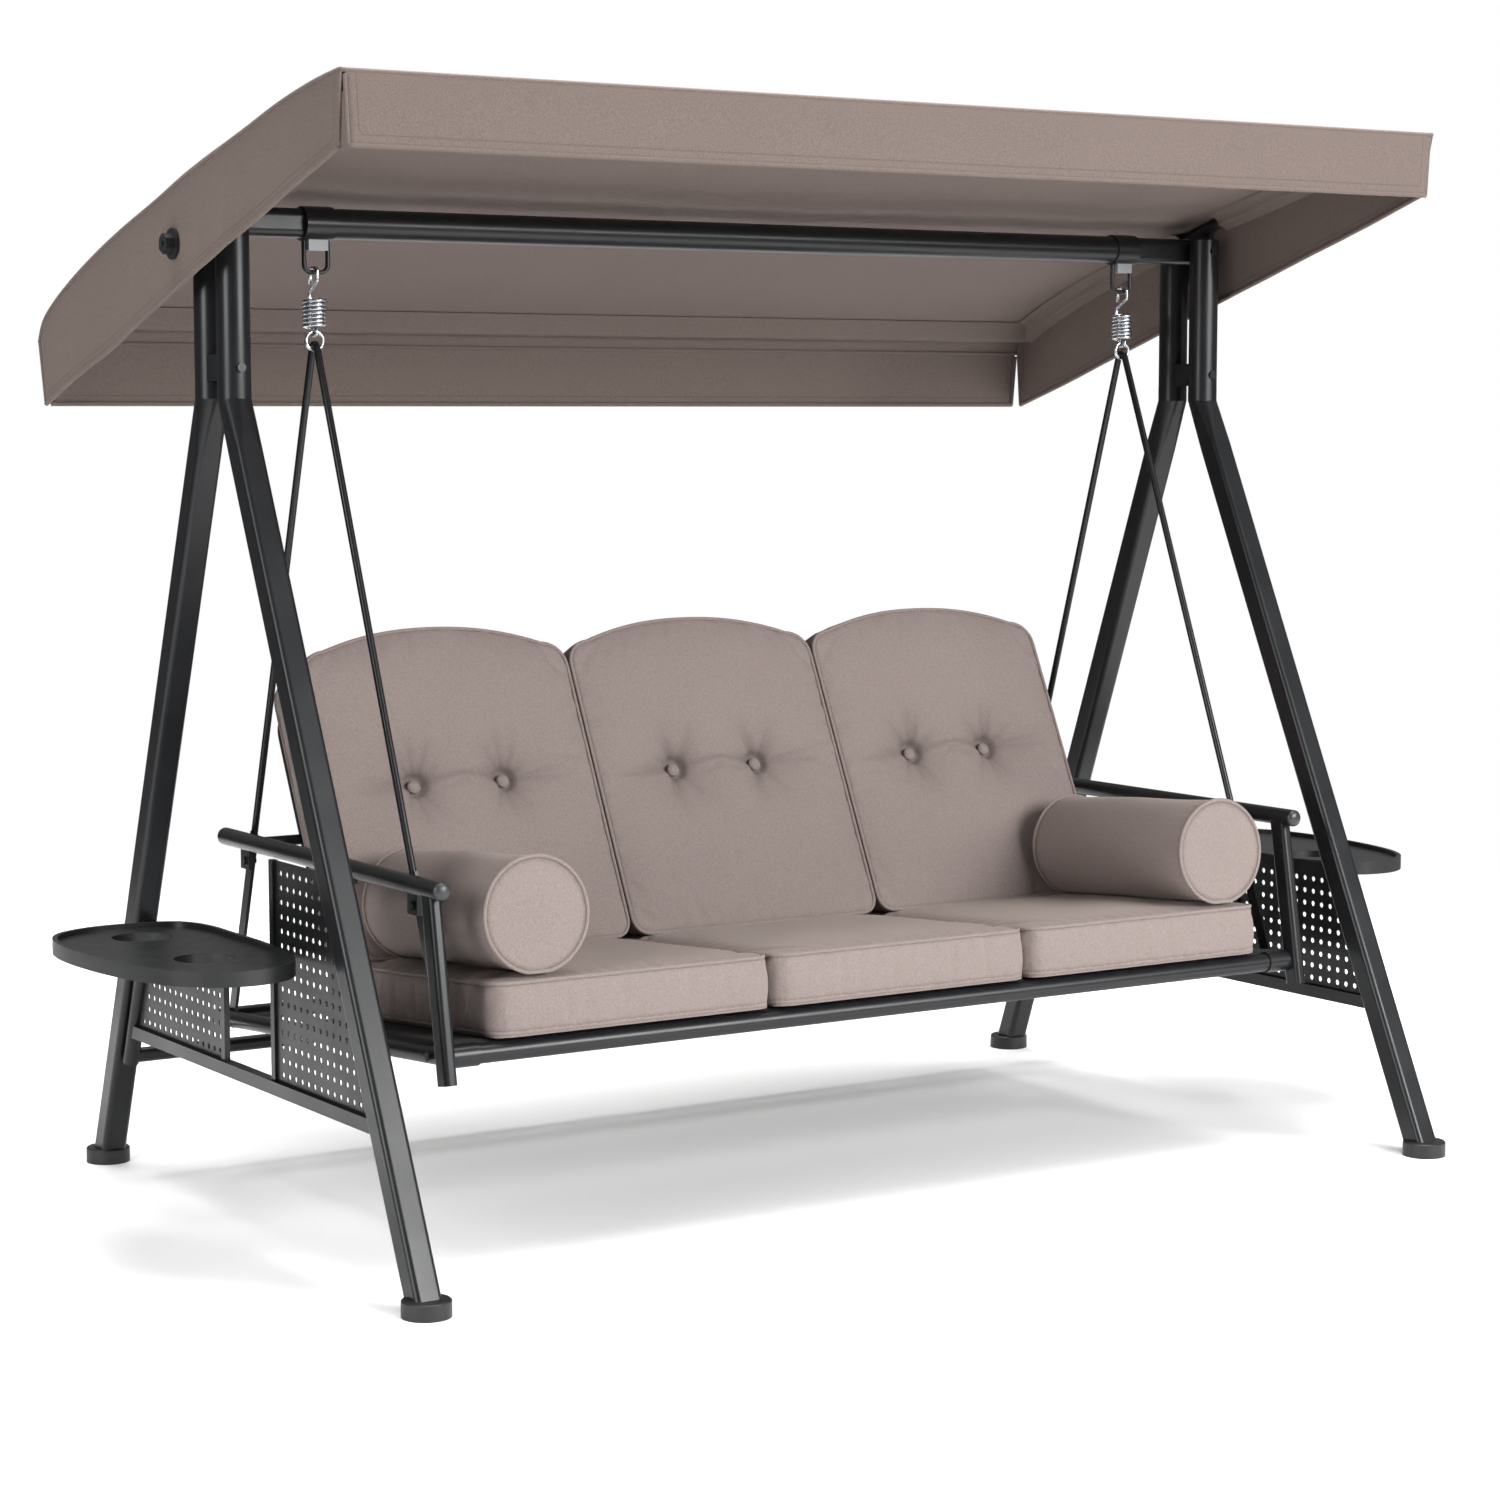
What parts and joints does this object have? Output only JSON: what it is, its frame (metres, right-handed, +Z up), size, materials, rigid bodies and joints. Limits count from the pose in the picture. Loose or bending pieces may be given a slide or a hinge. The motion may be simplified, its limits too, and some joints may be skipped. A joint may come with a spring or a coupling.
{
  "type": "hanging porch swing",
  "caption": "Cushioned hanging porch swing on an A-frame stand, with a tilting fabric canopy, coil springs, bolsters and cup-holder side trays.",
  "frame": {"origin": "on the floor, under the middle of the whole part's bounding box", "axes": "+X along the seat's width to the sitter's left-hand side seen from the front, +Y to the rear, +Z up"},
  "size_m": [2.6066, 1.344, 1.815],
  "materials": {
    "frame_metal": "fine-textured charcoal powder coat",
    "rod_metal": "satin black powder coat",
    "panel_metal": "charcoal powder coat on punched sheet",
    "spring_steel": "bright zinc plated wire",
    "bolt_steel": "blackened steel",
    "foot_rubber": "moulded matte",
    "tray_plastic": "fine grained moulding",
    "cap_plastic": "satin moulded",
    "knob_plastic": "satin moulded",
    "saddle_nylon": "natural nylon",
    "web_fabric": "coated mesh webbing",
    "cushion_fabric": "woven polyester over foam",
    "canopy_fabric": "water-resistant woven polyester"
  },
  "bodies": {
    "stand": {"feet": "foot_rubber", "left_beam_end": "frame_metal", "left_front_leg": "frame_metal", "left_front_panel": "panel_metal", "left_lower_rail": "frame_metal", "left_posts": "frame_metal", "left_rear_leg": "frame_metal", "left_rear_panel": "panel_metal", "left_tray": "tray_plastic", "left_uprights": "frame_metal", "main_beam": "frame_metal", "rear_cross_tube": "frame_metal", "right_beam_end": "frame_metal", "right_front_leg": "frame_metal", "right_front_panel": "panel_metal", "right_lower_rail": "frame_metal", "right_posts": "frame_metal", "right_rear_leg": "frame_metal", "right_rear_panel": "panel_metal", "right_tray": "tray_plastic", "right_uprights": "frame_metal", "staple_saddles": "saddle_nylon", "staples": "frame_metal", "tray_brackets": "frame_metal", "upright_bolts": "bolt_steel", "upright_spacers": "frame_metal"},
    "spring_pair": {"springs": "spring_steel"},
    "links": {"link_rings": "spring_steel"},
    "seat": {"left_hanger": "rod_metal", "right_hanger": "rod_metal", "left_armrest": "frame_metal", "right_armrest": "frame_metal", "armrest_caps": "cap_plastic", "left_arm_post": "frame_metal", "right_arm_post": "frame_metal", "seat_front_rail": "frame_metal", "seat_frame": "frame_metal", "seat_web": "web_fabric", "back_frame": "frame_metal", "back_web": "web_fabric", "seat_bolts": "bolt_steel", "cushion_buttons": "cushion_fabric", "left_bolster": "cushion_fabric", "right_bolster": "cushion_fabric", "left_seat_cushion": "cushion_fabric", "left_back_cushion": "cushion_fabric", "middle_seat_cushion": "cushion_fabric", "middle_back_cushion": "cushion_fabric", "right_seat_cushion": "cushion_fabric", "right_back_cushion": "cushion_fabric"},
    "canopy": {"canopy_top": "canopy_fabric", "front_valance": "canopy_fabric", "rear_valance": "canopy_fabric", "left_valance": "canopy_fabric", "right_valance": "canopy_fabric", "left_canopy_arm": "frame_metal", "right_canopy_arm": "frame_metal", "canopy_cross_bars": "frame_metal"},
    "left_knob": {"left_tilt_knob": "knob_plastic"},
    "right_knob": {"right_tilt_knob": "knob_plastic"}
  },
  "joints": [
    {"name": "spring_swing", "type": "hinge", "parent": "stand", "child": "spring_pair", "pos_m": [0, 0.046, 1.549], "axis": [1, 0, 0], "range_deg": [-14, 14]},
    {"name": "spring_stretch", "type": "slide", "parent": "spring_pair", "child": "links", "axis": [0, 0, -1], "range_m": [0, 0.012], "stiffness_N_per_m": 90000, "springref_m": -0.012, "deforming": ["springs"]},
    {"name": "seat_rock", "type": "hinge", "parent": "links", "child": "seat", "pos_m": [0, 0.046, 1.424], "axis": [1, 0, 0], "range_deg": [-3, 3]},
    {"name": "canopy_tilt", "type": "hinge", "parent": "stand", "child": "canopy", "pos_m": [0, 0.076, 1.59], "axis": [1, 0, 0], "range_deg": [-17, 17]},
    {"name": "left_knob_turn", "type": "hinge", "parent": "canopy", "child": "left_knob", "pos_m": [-1.08, 0.076, 1.59], "axis": [-1, 0, 0], "continuous": true},
    {"name": "right_knob_turn", "type": "hinge", "parent": "canopy", "child": "right_knob", "pos_m": [1.08, 0.076, 1.59], "axis": [1, 0, 0], "continuous": true}
  ]
}
